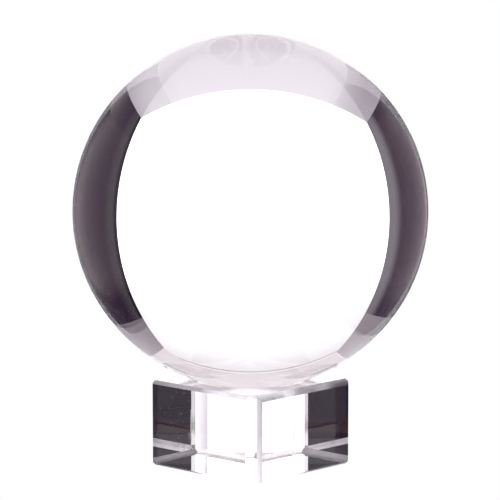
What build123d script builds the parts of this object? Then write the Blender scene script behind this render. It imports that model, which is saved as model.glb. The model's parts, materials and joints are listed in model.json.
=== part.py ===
"""A clear glass crystal ball on a clear glass block stand.

Millimetres, +Z up. The origin is the centre of the stand's base, with the stand's four upright
faces square to X and Y. The ball is loose: it sits in a shallow round seat ground into the top of
the stand, and lifts straight up off it. The stand is cut from a plate of glass, and every edge is
then ground to a narrow flat by hand, so the flats differ in width from side to side.
"""
import os
from math import sqrt

from build123d import *

# The ball
ball_diameter = 80.0

# The stand, across its upright faces and from its base to its flat top
stand_width = 34.0
stand_height = 19.4
corner_flat_cut = 2.6  # taken off each upright face at the four upright corners

# Bevels round the top and the base, taken off both faces of each edge
top_bevel_front = 0.8  # the -Y face
top_bevel_right = 1.3  # the +X face
top_bevel_back = 1.0  # the +Y face
top_bevel_left = 1.0  # the -X face
base_bevel_front = 0.4
base_bevel_right = 0.4
base_bevel_back = 1.0
base_bevel_left = 0.75
corner_bevel = 0.6  # at the ends of the corner flats, top and base

# How the ball sits in the stand
ball_sink = 1.8  # the ball's lowest point below the stand's flat top
seat_gap = 0.2  # clearance between the ball and its seat

ball_radius = ball_diameter / 2
ball_centre_z = stand_height - ball_sink + ball_radius
seat_radius = ball_radius + seat_gap

# Directions square to the stand's upright faces, with the bevels of each face's top and base edges
upright_faces = [
    ((0, -1), top_bevel_front, base_bevel_front),
    ((1, 0), top_bevel_right, base_bevel_right),
    ((0, 1), top_bevel_back, base_bevel_back),
    ((-1, 0), top_bevel_left, base_bevel_left),
]
corner_directions = [(sx / sqrt(2), sy / sqrt(2)) for sx in (-1, 1) for sy in (-1, 1)]
face_reach = stand_width / 2
corner_reach = (stand_width - corner_flat_cut) / sqrt(2)


def grind(block, point, outward):
    """Grinds away what stands proud of the plane through a point, on the outward side."""
    return split(block, bisect_by=Plane(origin=point, z_dir=outward), keep=Keep.BOTTOM)


def grind_bevels(block, direction, reach, top_bevel, base_bevel):
    """Bevels the top and base edges of the upright flat that lies reach from the centre line."""
    dx, dy = direction
    for bevel, edge_z, up in ((top_bevel, stand_height, 1), (base_bevel, 0.0, -1)):
        inset = reach - bevel
        block = grind(block, (inset * dx, inset * dy, edge_z), (dx, dy, up))
    return block


def make_ball():
    """A solid ball, its lowest point just below the stand's flat top."""
    return Pos(0, 0, ball_centre_z) * Sphere(ball_radius)


def make_stand():
    """A square block with cut corners and bevelled edges, and a seat concentric with the ball."""
    block = Box(
        stand_width,
        stand_width,
        stand_height,
        align=(Align.CENTER, Align.CENTER, Align.MIN),
    )
    for dx, dy in corner_directions:
        block = grind(block, (corner_reach * dx, corner_reach * dy, 0), (dx, dy, 0))
    for direction, top_bevel, base_bevel in upright_faces:
        block = grind_bevels(block, direction, face_reach, top_bevel, base_bevel)
    for direction in corner_directions:
        block = grind_bevels(block, direction, corner_reach, corner_bevel, corner_bevel)
    return block - Pos(0, 0, ball_centre_z) * Sphere(seat_radius)


os.makedirs("parts", exist_ok=True)
export_step(make_ball(), "parts/ball.step")
export_step(make_stand(), "parts/stand_block.step")
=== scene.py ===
# %% [markdown]
# # A crystal ball on its glass block
#
# The real object is two pieces of clear glass: a solid polished ball, and a square block, ground
# flat on every side, with a shallow round seat for the ball. Clear glass has no colour of its own.
# What the eye reads as its shape is the room, bent and turned upside down, so this lesson spends
# as much care on what stands round the glass as on the glass.

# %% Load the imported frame
import json
import math

import bmesh
import bpy
import numpy as np
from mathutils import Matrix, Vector

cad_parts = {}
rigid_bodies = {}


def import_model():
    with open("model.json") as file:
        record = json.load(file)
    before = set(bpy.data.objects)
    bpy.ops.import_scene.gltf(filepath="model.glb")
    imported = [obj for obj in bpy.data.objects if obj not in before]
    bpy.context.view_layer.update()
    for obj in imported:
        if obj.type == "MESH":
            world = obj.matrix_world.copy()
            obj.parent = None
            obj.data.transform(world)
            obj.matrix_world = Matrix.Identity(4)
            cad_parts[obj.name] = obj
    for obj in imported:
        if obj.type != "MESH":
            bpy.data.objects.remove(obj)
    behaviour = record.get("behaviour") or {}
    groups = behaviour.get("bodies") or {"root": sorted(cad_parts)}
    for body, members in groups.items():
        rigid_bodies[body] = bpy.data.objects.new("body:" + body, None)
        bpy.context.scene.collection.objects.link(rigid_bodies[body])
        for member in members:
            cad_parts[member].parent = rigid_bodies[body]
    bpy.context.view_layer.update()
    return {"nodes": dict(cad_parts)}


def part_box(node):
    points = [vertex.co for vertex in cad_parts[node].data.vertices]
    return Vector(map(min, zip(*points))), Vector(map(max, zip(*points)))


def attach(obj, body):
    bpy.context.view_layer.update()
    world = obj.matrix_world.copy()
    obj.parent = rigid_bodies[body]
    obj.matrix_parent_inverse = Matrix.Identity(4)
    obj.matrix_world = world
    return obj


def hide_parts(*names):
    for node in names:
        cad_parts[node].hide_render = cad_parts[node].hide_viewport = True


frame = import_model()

MM = 0.001
ball_low, ball_high = (np.array(corner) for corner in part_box("ball"))
stand_low, stand_high = (np.array(corner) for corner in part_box("stand_block"))
ball_radius = (ball_high[2] - ball_low[2]) / 2
ball_z = (ball_high[2] + ball_low[2]) / 2
ball_centre = np.array([0.0, 0.0, ball_z])
stand_top = stand_high[2]
scene = bpy.context.scene
print(f"ball radius {ball_radius / MM:.2f} mm, its centre {ball_z / MM:.2f} mm up")

# %% [markdown]
# ## Camera
# Small glass looks best from far off through a long lens, so that its edges stay straight and the
# ball stays round. The camera looks slightly down, almost straight at one upright corner of the
# stand. Its aim is a little below the ball, which leaves room for the stand.

# %% Camera
azimuth = math.radians(43.0)
elevation = math.radians(6.39)
distance = 551 * MM
aim_drop = 8.8 * MM
aim_right = -0.08 * MM
SENSOR_WIDTH = 36.0
FOCAL_LENGTH = 176.1

camera_data = bpy.data.cameras.new("camera")
camera_data.sensor_width = SENSOR_WIDTH
camera_data.lens = FOCAL_LENGTH
camera = bpy.data.objects.new("camera", camera_data)
scene.collection.objects.link(camera)
scene.camera = camera
level = math.cos(elevation)
outward = Vector((math.sin(azimuth) * level, -math.cos(azimuth) * level, math.sin(elevation)))
rightward = Vector((math.cos(azimuth), math.sin(azimuth), 0.0))
camera.location = Vector(ball_centre) + distance * outward
aim = Vector(ball_centre) - Vector((0, 0, aim_drop)) + aim_right * rightward
camera.rotation_euler = (aim - camera.location).to_track_quat("-Z", "Y").to_euler()

# %% [markdown]
# Glass is judged by its clean whites, so the picture keeps them clean: the plain standard view
# leaves pure white as it is, where a film-like view would pull it down to grey.

# %% Clean whites
scene.view_settings.view_transform = "Standard"

# %% [markdown]
# ## Writing shader maths
# A material is a sum of masks. Wrapping a node's socket in a small class lets those sums be written
# as ordinary Python, and each operation adds the Math node that does it.


# %% Socket maths and a material maker
class Value:
    """A node's output that ordinary arithmetic can use; every operation adds one Math node."""

    def __init__(self, tree, socket):
        self.tree = tree
        self.socket = socket

    def math(self, operation, *operands):
        node = self.tree.nodes.new("ShaderNodeMath")
        node.operation = operation
        for slot, operand in zip(node.inputs, operands):
            if isinstance(operand, Value):
                self.tree.links.new(operand.socket, slot)
            else:
                slot.default_value = operand
        return Value(self.tree, node.outputs[0])

    def __add__(self, other):
        return self.math("ADD", self, other)

    def __mul__(self, other):
        return self.math("MULTIPLY", self, other)

    def __sub__(self, other):
        return self.math("SUBTRACT", self, other)

    def __rsub__(self, other):
        return self.math("SUBTRACT", other, self)

    __radd__ = __add__
    __rmul__ = __mul__

    def __abs__(self):
        return self.math("ABSOLUTE", self)


class Material:
    """A material under construction, or the world's."""

    def __init__(self, name, tree=None):
        self.made = None
        if tree is None:
            self.made = bpy.data.materials.new(name)
            self.made.use_nodes = True
            tree = self.made.node_tree
        self.tree = tree
        tree.nodes.clear()

    def node(self, kind, settings=None, values=None, output=0):
        """Adds a node: its type, then its settings, then the values or links of its sockets."""
        node = self.tree.nodes.new("ShaderNode" + kind)
        for name, setting in (settings or {}).items():
            setattr(node, name, setting)
        for name, value in (values or {}).items():
            if isinstance(value, Value):
                self.tree.links.new(value.socket, node.inputs[name])
            else:
                node.inputs[name].default_value = value
        return Value(self.tree, node.outputs[output])

    def place(self):
        """The piece's own coordinates in millimetres, as a vector and as its three parts."""
        raw = self.node("TexCoord", output="Object")
        point = self.node("VectorMath", {"operation": "SCALE"}, {0: raw, "Scale": 1 / MM})
        return point, [self.node("SeparateXYZ", None, {0: point}, output=axis) for axis in range(3)]

    def rise(self, value, start, end, low=0.0, high=1.0):
        """Goes smoothly from low to high as the value goes from start to end, and stays there."""
        ends = {"From Min": start, "From Max": end, "To Min": low, "To Max": high}
        return self.node("MapRange", {"interpolation_type": "SMOOTHSTEP"}, {"Value": value, **ends})

    def colours(self, factor, first, second):
        """From the first colour to the second as the factor goes from 0 to 1."""
        return self.node("Mix", {"data_type": "RGBA"}, {0: factor, 6: first, 7: second}, output=2)

    def blend(self, factor, first, second):
        return self.node("MixShader", None, {0: factor, 1: first, 2: second})

    def finish(self, surface, kind="OutputMaterial"):
        out = self.tree.nodes.new("ShaderNode" + kind)
        self.tree.links.new(surface.socket, out.inputs["Surface"])
        return self.made


def rgb(red, green, blue):
    return (red, green, blue, 1.0)


# %% [markdown]
# ## The ball
# The real ball is ground between rotating cups until it is round to a few hundredths of a
# millimetre, then polished. A sphere primitive would show its facets through the glass, because the
# ball magnifies its own far side. So the ball is a fine grid of latitude and longitude, shaded
# smooth, with both poles closed by a ring of triangles.


# %% Make the ball
def round_grid(polar, around):
    """Unit directions: the polar angle's sine times the azimuth's cosine and sine, and its cosine up."""
    polar = polar[:, None]
    flat = np.sin(polar)
    parts = [flat * np.cos(around), flat * np.sin(around), np.cos(polar) + 0 * around]
    return np.stack(parts, axis=-1)


def ring_quads(rings, segments):
    """The quads between neighbouring rings of points that each close on themselves."""
    index = np.arange(rings * segments).reshape(rings, segments)
    after = np.roll(index, -1, axis=1)
    return np.stack([index[:-1], index[1:], after[1:], after[:-1]], axis=-1).reshape(-1, 4)


def new_piece(name, mesh):
    piece = bpy.data.objects.new(name, mesh)
    scene.collection.objects.link(piece)
    return piece


def make_ball(rings=200, segments=400):
    """Centre plus radius times direction, over every polar angle and azimuth."""
    polar = np.linspace(0, math.pi, rings + 1)[1:-1]
    around = np.linspace(0, 2 * math.pi, segments, endpoint=False)
    grid = round_grid(polar, around).reshape(-1, 3)
    directions = np.concatenate([grid, [[0, 0, 1], [0, 0, -1]]])
    first = np.arange(segments)
    after = np.roll(first, -1)
    last_ring = (rings - 2) * segments
    top = np.stack([np.full(segments, len(grid)), first, after], axis=-1)
    bottom = np.stack([np.full(segments, len(grid) + 1), last_ring + after, last_ring + first], axis=-1)
    faces = ring_quads(rings - 1, segments).tolist() + top.tolist() + bottom.tolist()
    mesh = bpy.data.meshes.new("glass_ball")
    mesh.from_pydata((ball_centre + ball_radius * directions).tolist(), [], faces)
    mesh.shade_smooth()
    return new_piece("glass_ball", mesh)


ball = make_ball()
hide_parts("ball")
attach(ball, "ball")
print("ball faces", len(ball.data.polygons))

# %% [markdown]
# ## The stand
# The block is sawn from plate glass and each side is ground flat against a wheel. Every edge then
# gets a narrow flat of its own, ground by hand, which is why their widths differ. The block is
# cut here in the same order as on the wheel: a rough block loses whatever stands proud of each flat
# in turn. The flats are read from the frame's own block, so none of them moves.


# %% Read the ground flats from the frame
def node_triangles(name):
    """A frame node's triangles, as an array of three corners each."""
    mesh = frame["nodes"][name].data
    mesh.calc_loop_triangles()
    corners = np.empty(len(mesh.loop_triangles) * 3, dtype=np.int32)
    points = np.empty(len(mesh.vertices) * 3, dtype=np.float32)
    mesh.loop_triangles.foreach_get("vertices", corners)
    mesh.vertices.foreach_get("co", points)
    return points.reshape(-1, 3)[corners].reshape(-1, 3, 3).astype(float)


def flats_of(triangles):
    """A point on each distinct plane of the triangles, with its outward direction."""
    normal = np.cross(triangles[:, 1] - triangles[:, 0], triangles[:, 2] - triangles[:, 0])
    length = np.linalg.norm(normal, axis=1)
    real = length > 1e-12
    normal, corner = normal[real] / length[real, None], triangles[real, 0]
    height = np.einsum("ij,ij->i", normal, corner) / MM
    _, first = np.unique(np.round(np.column_stack([normal, height]), 2), axis=0, return_index=True)
    return [(Vector(corner[i]), Vector(normal[i])) for i in first]


block_triangles = node_triangles("stand_block")
from_ball = np.linalg.norm(block_triangles - ball_centre, axis=2)
seat_radius = from_ball.min()
in_seat = np.all(from_ball < seat_radius + 0.05 * MM, axis=1)
flats = flats_of(block_triangles[~in_seat])
rim_radius = math.sqrt(seat_radius**2 - (ball_z - stand_top) ** 2)
print(f"{len(flats)} flats, seat radius {seat_radius / MM:.2f} mm, its rim {rim_radius / MM:.2f} mm")

# %% [markdown]
# The seat is a dish as deep as the ball sinks into the block. It is worked out like the ball, as
# rings round the axis, and its rim is then joined to the block's top. The flats stay flat to the
# light, and only the dish is shaded smooth.


# %% Cut the block and sink the seat
def cut_block():
    """A rough block with everything beyond each flat cut away and closed by one face."""
    block = bmesh.new()
    bmesh.ops.create_cube(block, size=4 * ball_radius)
    for point, direction in flats:
        everything = block.verts[:] + block.edges[:] + block.faces[:]
        cut = bmesh.ops.bisect_plane(
            block, geom=everything, plane_co=point, plane_no=direction, clear_outer=True, dist=1e-7
        )
        edges = [part for part in cut["geom_cut"] if isinstance(part, bmesh.types.BMEdge)]
        bmesh.ops.edgeloop_fill(block, edges=[edge for edge in edges if edge.is_boundary])
    return block


def seat_grid(rings, segments):
    """Rings from near the axis to the rim, each point the seat's radius away from the ball's centre."""
    rim_angle = math.asin(rim_radius / seat_radius)
    polar = math.pi - rim_angle * np.arange(1, rings + 1) / rings
    around = np.linspace(0, 2 * math.pi, segments, endpoint=False)
    return ball_centre + seat_radius * round_grid(polar, around)


def sink_seat(block, rings=24, segments=256):
    """Replaces the block's flat top by a dish and a flat with a round hole that fits its rim."""
    top = max(block.faces, key=lambda face: face.calc_center_median().z)
    outline = top.edges[:]
    bmesh.ops.delete(block, geom=[top], context="FACES_ONLY")
    dish = [block.verts.new(point) for point in seat_grid(rings, segments).reshape(-1, 3).tolist()]
    pole = block.verts.new((0.0, 0.0, ball_z - seat_radius))
    bowl = [block.faces.new([dish[i] for i in quad]) for quad in ring_quads(rings, segments).tolist()]
    bowl += [block.faces.new([pole, dish[i], dish[(i + 1) % segments]]) for i in range(segments)]
    rim = [edge for edge in block.edges if edge.is_boundary and edge not in outline]
    bmesh.ops.triangle_fill(block, edges=outline + rim, use_beauty=True)
    bmesh.ops.recalc_face_normals(block, faces=block.faces[:])
    for face in bowl:
        face.smooth = True
    for edge in rim:
        edge.smooth = False


block = cut_block()
sink_seat(block)
print("stand faces", len(block.faces), "open edges", sum(edge.is_boundary for edge in block.edges))

# %% [markdown]
# The four sides, the top, the base and the seat are polished. The narrow flats are left as the fine
# wheel leaves them, satin, all but the upright flat at the front corner, which was polished with the
# sides. That polish stops a little short of one edge of the flat, and the satin line it leaves runs
# from the top of the block to its base. So the faces get one of four finishes.

# %% Sort the faces by their finish
POLISHED, SATIN_TOP, SATIN_BASE, SATIN_LINE = range(4)
line_width = 1.2 * MM
along_flat = Vector((1, 1, 0)).normalized()


def faces_front(face):
    """True for the upright flat at the front corner, between the -Y and the +X sides."""
    return face.normal.x > 0.7 and face.normal.y < -0.7


def mark_satin_line(block):
    """Parts the unpolished line from the rest of the front flat; the shape stays as it is."""
    flat = next(face for face in block.faces if faces_front(face))
    limit = max(along_flat.dot(vert.co) for vert in flat.verts) - line_width
    parts = [flat] + flat.edges[:] + flat.verts[:]
    bmesh.ops.bisect_plane(block, geom=parts, plane_co=along_flat * limit, plane_no=along_flat, dist=1e-7)
    front = [face for face in block.faces if faces_front(face)]
    return max(front, key=lambda face: along_flat.dot(face.calc_center_median()))


def finish_of(face):
    """Squares and the dish are polished; what slants is satin, but for the front corner's flat."""
    squareness = max(abs(part) for part in face.normal)
    if face.smooth or squareness > 0.99 or faces_front(face):
        return POLISHED
    return SATIN_BASE if face.normal.z < -0.1 else SATIN_TOP


satin_line = mark_satin_line(block)
for face in block.faces:
    face.material_index = SATIN_LINE if face == satin_line else finish_of(face)
stand_mesh = bpy.data.meshes.new("glass_stand")
block.to_mesh(stand_mesh)
block.free()
stand = new_piece("glass_stand", stand_mesh)
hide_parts("stand_block")
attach(stand, "stand")
for finish in (POLISHED, SATIN_TOP, SATIN_BASE, SATIN_LINE):
    print("finish", finish, sum(part.material_index == finish for part in stand_mesh.polygons), "faces")

# %% [markdown]
# ## Polished glass
# The glass is a clear crown glass. Polish is never perfect: it keeps a faint haze that comes and
# goes over the surface, and a few hairlines from wiping. Handled glass also carries dust, which
# shows as white specks wherever the glass looks dark. The specks are small cells of a Voronoi
# pattern, a tenth of a millimetre across, and only some cells get one.

# %% Polished glass
GLASS_IOR = 1.5168
CLEAR = rgb(1, 1, 1)


def specks(m, point, spacing, size, share):
    """1 on small round specks, one at most to each cell; share is the part of the cells with one."""
    cell = {"Vector": point, "Scale": 1 / spacing}
    near = m.node("TexVoronoi", {"feature": "F1"}, cell)
    lot = m.node("TexVoronoi", {"feature": "F1"}, cell, output=1)
    chance = m.node("SeparateColor", None, {0: lot})
    return m.rise(near, size, size * 0.5) * m.rise(chance, share, share - 0.02)


def hairlines(m, point, direction, spacing, depth):
    """1 on fine wiping marks: thin dark creases of a noise drawn out along one direction."""
    turned = m.node("Mapping", None, {"Vector": point, "Rotation": direction, "Scale": (0.05, 1.0, 1.0)})
    noise = m.node("TexNoise", None, {"Vector": turned, "Scale": 1 / spacing, "Detail": 3.0})
    patchy = m.node("TexNoise", None, {"Vector": point, "Scale": 0.08})
    return m.rise(abs(noise - 0.5), 0.006, 0.001) * m.rise(patchy, 0.50, 0.62) * depth


def polished_glass(name, haze, ripple, dust_share):
    m = Material(name)
    point, _ = m.place()
    cloud = m.node("TexNoise", None, {"Vector": point, "Scale": 0.11, "Detail": 4.0})
    lines = hairlines(m, point, (0.4, 0.2, 0.9), 0.8, 0.10)
    roughness = m.rise(cloud, 0.45, 0.75) * haze + lines
    wave = m.node("TexNoise", None, {"Vector": point, "Scale": 0.18, "Detail": 1.0})
    normal = m.node("Bump", None, {"Height": wave, "Distance": ripple, "Strength": 1.0})
    glass = m.node("BsdfPrincipled", None, {
        "Base Color": CLEAR, "Roughness": roughness, "IOR": GLASS_IOR,
        "Transmission Weight": 1.0, "Normal": normal,
    })
    fine = specks(m, point, 0.9, 0.10, dust_share)
    coarse = specks(m, point, 3.1, 0.055, dust_share)
    fibre = m.node("BsdfDiffuse", None, {"Color": rgb(0.85, 0.84, 0.86)})
    return m.finish(m.blend((fine + coarse) * 0.75, glass, fibre))


ball.data.materials.append(polished_glass("polished_ball_glass", 0.012, 0.00002 * MM, 0.035))
stand_mesh.materials.append(polished_glass("polished_stand_glass", 0.02, 0.003 * MM, 0.16))

# %% [markdown]
# ## Satin glass
# The fine wheel leaves a grain too small to see that spreads the light a few degrees. Round the top
# it is light, and things still show through; round the base, where the block wears on the table, it
# is heavier. Round the base the grain carries a painted tint of the light it scatters: creamy high
# on a flat, bluish near the table. The finest marks of the wheel are a bump a few micrometres deep.

# %% Satin glass
CREAM = rgb(1.0, 0.955, 0.90)
BLUISH = rgb(0.90, 0.93, 1.0)
NEUTRAL = rgb(0.97, 0.96, 0.98)


def satin_glass(name, low, high, foot_tint, head_tint):
    m = Material(name)
    point, (_, _, z) = m.place()
    mottle = m.node("TexNoise", None, {"Vector": point, "Scale": 0.6, "Detail": 5.0})
    grain = m.node("TexNoise", None, {"Vector": point, "Scale": 7.0, "Detail": 2.0})
    # painted tint of scattered light: the foot colour low on a flat, the head colour higher up
    tint = m.colours(m.rise(z, 0.1, 0.8), foot_tint, head_tint)
    normal = m.node("Bump", None, {"Height": grain, "Distance": 0.002 * MM, "Strength": 1.0})
    glass = m.node("BsdfPrincipled", None, {
        "Base Color": tint, "Roughness": m.rise(mottle, 0.35, 0.65, low, high), "IOR": GLASS_IOR,
        "Transmission Weight": 1.0, "Normal": normal,
    })
    return m.finish(glass)


stand_mesh.materials.append(satin_glass("satin_top_flats", 0.18, 0.23, NEUTRAL, NEUTRAL))
stand_mesh.materials.append(satin_glass("satin_base_flats", 0.34, 0.42, BLUISH, CREAM))
stand_mesh.materials.append(satin_glass("satin_line", 0.42, 0.52, NEUTRAL, NEUTRAL))
print("stand materials", [material.name for material in stand_mesh.materials])

# %% [markdown]
# ## The light tent
# Glass shows its surroundings, so they are built as a studio builds them: a small tent of cards
# round the glass. A bright back makes the middle clear. Black felt on both sides draws the dark
# crescents that give the ball its edge. A white table lights it from below. The tent stands still,
# square to the camera's place above. From the sides, then, the glass is seen against the felt, and it
# looks dark there, as it would in a real tent.

# %% Where the tent stands
tent_left, tent_right = -57 * MM, 51 * MM
tent_front, tent_back = -150 * MM, 125 * MM
tent_floor = -0.2 * MM
tent_top = ball_z + 80 * MM
felt_top = ball_z + 36.5 * MM
slope_foot = ball_z + 67 * MM

tent = bpy.data.objects.new("tent", None)
scene.collection.objects.link(tent)
tent.rotation_euler.z = azimuth
tent_width = (tent_right - tent_left) / MM
print(f"tent {tent_width:.0f} mm wide, turned {math.degrees(azimuth):.0f} degrees, once and for all")

# %% [markdown]
# Every card is one flat sheet that gives its own light, which is easier to set than lamps on cloth.
# The camera looks straight past the cards, and only the glass sees them.


# %% Cards
def set_card(name, corners, material):
    """One card of the tent, from its four corners."""
    mesh = bpy.data.meshes.new(name)
    mesh.from_pydata(corners, [], [(0, 1, 2, 3)])
    mesh.materials.append(material)
    card = new_piece(name, mesh)
    card.parent = tent
    card.visible_camera = False
    card.visible_shadow = False
    return card


def side_card(name, x, low, high, material, front=tent_front, back=tent_back):
    """An upright card that runs from front to back."""
    ends = [(front, low), (back, low), (back, high), (front, high)]
    return set_card(name, [(x, y, z) for y, z in ends], material)


def plain_sheet(name, colour):
    m = Material(name)
    return m.finish(m.node("Emission", None, {"Color": colour}))


# %% [markdown]
# The table is a glossy white sheet lit from below. It is a little brighter under the block, where its
# lamp is, and dimmer towards its side edges. A small black card lies close round the block.

# %% The table
TABLE_WHITE = rgb(0.76, 0.70, 0.77)
TABLE_EDGE = rgb(0.50, 0.45, 0.51)
UNDER_BLOCK = rgb(0.84, 0.78, 0.84)
BLACK_FELT = rgb(0.007, 0.002, 0.010)
half_block = stand_high[0] / MM


def table_sheet():
    m = Material("table_sheet")
    _, (x, y, _) = m.place()
    colour = m.colours(m.rise(abs(x - 5.0), 32.0, 54.0), TABLE_WHITE, TABLE_EDGE)
    from_block = (abs(x) + abs(y)) * math.sqrt(0.5) - half_block
    colour = m.colours(m.rise(from_block, 0.5, -1.0), colour, UNDER_BLOCK)
    card = m.rise(from_block, 2.0, 3.0) * m.rise(abs(x), 24.0, 22.0) * m.rise(abs(y), 24.0, 22.0)
    lit = m.node("Emission", None, {"Color": m.colours(card, colour, BLACK_FELT)})
    shine = m.node("BsdfGlossy", None, {"Color": rgb(1, 1, 1), "Roughness": 0.08})
    return m.finish(m.blend(m.node("Fresnel", None, {"IOR": 1.5}), lit, shine))


front_ends = [(tent_left, tent_front), (tent_right, tent_front)]
back_ends = [(tent_right, tent_back), (tent_left, tent_back)]
set_card("tent_table", [(x, y, tent_floor) for x, y in front_ends + back_ends], table_sheet())
print(f"table under a block {2 * half_block:.1f} mm wide")

# %% [markdown]
# The back is a white sheet lit from behind, strongest low down. It dims upwards to a fold, past
# which it hangs in its own shade.

# %% The back
BACK_WHITE = rgb(1.0, 0.965, 0.995)
FOLD_SHADE = rgb(0.62, 0.50, 0.51)


def back_sheet():
    m = Material("back_sheet")
    _, (_, _, z) = m.place()
    up = ball_z / MM
    strength = m.rise(z, up + 5, up + 34, 2.4, 1.15) * m.rise(z, up + 34, up + 78, 1.0, 0.74)
    colour = m.colours(m.rise(z, up + 75.2, up + 76.2), BACK_WHITE, FOLD_SHADE)
    bright = m.node("VectorMath", {"operation": "SCALE"}, {0: colour, "Scale": strength})
    return m.finish(m.node("Emission", None, {"Color": bright}))


foot_ends = [(tent_left, tent_floor), (tent_right, tent_floor)]
top_ends = [(tent_right, tent_top), (tent_left, tent_top)]
set_card("tent_back", [(x, tent_back, z) for x, z in foot_ends + top_ends], back_sheet())
print(f"back {(tent_top - tent_floor) / MM:.0f} mm high")

# %% [markdown]
# The ceiling is white cloth, brighter towards the open front. On the right it comes down in a slope.

# %% The ceiling
slope_edge = tent_right - 12 * MM
ceiling_z = tent_top + 1.0 * MM
ceiling_back = tent_back - 1.5 * MM


def ceiling_sheet():
    m = Material("ceiling_sheet")
    _, (_, y, _) = m.place()
    colour = m.colours(m.rise(y, 35.0, -30.0), rgb(0.74, 0.66, 0.69), rgb(1.25, 1.18, 1.22))
    return m.finish(m.node("Emission", None, {"Color": colour}))


def hung_card(name, left, right, material):
    """A card between two lines that run from front to back, each given as its x and z."""
    front_left, front_right = (left[0], tent_front, left[1]), (right[0], tent_front, right[1])
    back_left, back_right = (left[0], ceiling_back, left[1]), (right[0], ceiling_back, right[1])
    return set_card(name, [front_left, front_right, back_right, back_left], material)


ceiling = ceiling_sheet()
hung_card("tent_ceiling", (tent_left, ceiling_z), (slope_edge, ceiling_z), ceiling)
hung_card("tent_slope", (slope_edge, ceiling_z), (tent_right, slope_foot), ceiling)
print(f"ceiling {ceiling_z / MM:.0f} mm up, its slope's foot {slope_foot / MM:.0f} mm up")

# %% [markdown]
# Black felt hangs on both sides, almost up to the ball's top. It catches a little light at its far
# end, and above the block towards the front. Grey cloth fills the rest.

# %% The side felts
LEFT_FELT = [rgb(0.022, 0.008, 0.028), rgb(0.20, 0.175, 0.205), rgb(0.44, 0.38, 0.40)]
RIGHT_FELT = [rgb(0.016, 0.004, 0.022), rgb(0.050, 0.040, 0.052), rgb(0.24, 0.19, 0.21)]


def side_felt(name, colours, seam):
    """Felt from its middle, far end and lit front colours; seam is how dark its far edge's seam is."""
    middle, far, front = colours
    m = Material(name)
    _, (_, y, z) = m.place()
    felt = m.colours(m.rise(y, 102.0, 117.0), middle, far)
    felt = m.colours(m.rise(y, 119.0, 121.0) * seam, felt, BLACK_FELT)
    felt = m.colours(m.rise(y, 30.0, 50.0), BLACK_FELT, felt)
    lit = m.rise(y, 45.0, 10.0) * m.rise(z, 18.0, 34.0)
    return m.finish(m.node("Emission", None, {"Color": m.colours(lit, felt, front)}))


side_card("tent_left_felt", tent_left, tent_floor, felt_top, side_felt("left_felt", LEFT_FELT, 0.0))
side_card("tent_right_felt", tent_right, tent_floor, felt_top, side_felt("right_felt", RIGHT_FELT, 1.0))
left_grey = plain_sheet("left_grey", rgb(0.32, 0.28, 0.31))
right_grey = plain_sheet("right_grey", rgb(0.20, 0.165, 0.19))
side_card("tent_left_grey", tent_left, felt_top, tent_top, left_grey)
side_card("tent_right_grey", tent_right, felt_top, slope_foot, right_grey)
print(f"felt up to {felt_top / MM:.0f} mm")

# %% [markdown]
# The block would be lost against the white table, so a low black flag stands close on each side of
# it. Its dark strips are those flags, and only the foot of each catches light from the table.

# %% The low flags
flag_gap = 21.5 * MM
flag_front, flag_back, flag_top = 4.5 * MM, 23 * MM, 17.5 * MM


def flag_felt():
    m = Material("flag_felt")
    _, (_, _, z) = m.place()
    foot = m.rise(z, 4.0, 2.0) * m.rise(z, -1.0, 0.5)
    colour = m.colours(foot, BLACK_FELT, rgb(0.034, 0.020, 0.026))
    return m.finish(m.node("Emission", None, {"Color": colour}))


flag = flag_felt()
for name, x in (("tent_left_flag", -flag_gap), ("tent_right_flag", flag_gap)):
    side_card(name, x, tent_floor, flag_top, flag, front=flag_front, back=flag_back)
print("cards in the tent", len(tent.children))

# %% [markdown]
# ## Floor and room
# The camera sees a plain white floor and a plain white room. The glass sees the tent instead, and
# through its open front a pale room. The floor lies a tenth of a millimetre under the block, so that
# the two don't share one plane.

# %% Floor and room
floor_half = 4.0
floor_z = -0.1 * MM
ends = [(floor_half * x, floor_half * y) for x, y in ((-1, -1), (1, -1), (1, 1), (-1, 1))]
floor_mesh = bpy.data.meshes.new("floor")
floor_mesh.from_pydata([(x, y, floor_z) for x, y in ends], [], [(0, 1, 2, 3)])
floor_mesh.materials.append(plain_sheet("white_floor", rgb(1, 1, 1)))
floor = new_piece("floor", floor_mesh)
floor.visible_transmission = False
floor.visible_glossy = False

world = bpy.data.worlds.new("room")
scene.world = world
world.use_nodes = True
room = Material("room", world.node_tree)
seen = room.node("LightPath", output="Is Camera Ray")
white = room.node("Background", None, {"Color": rgb(1, 1, 1), "Strength": 1.0})
pale = room.node("Background", None, {"Color": rgb(0.9, 0.87, 0.92), "Strength": 1.2})
room.finish(room.blend(seen, pale, white), "OutputWorld")
print(f"floor {2 * floor_half:.0f} m wide")
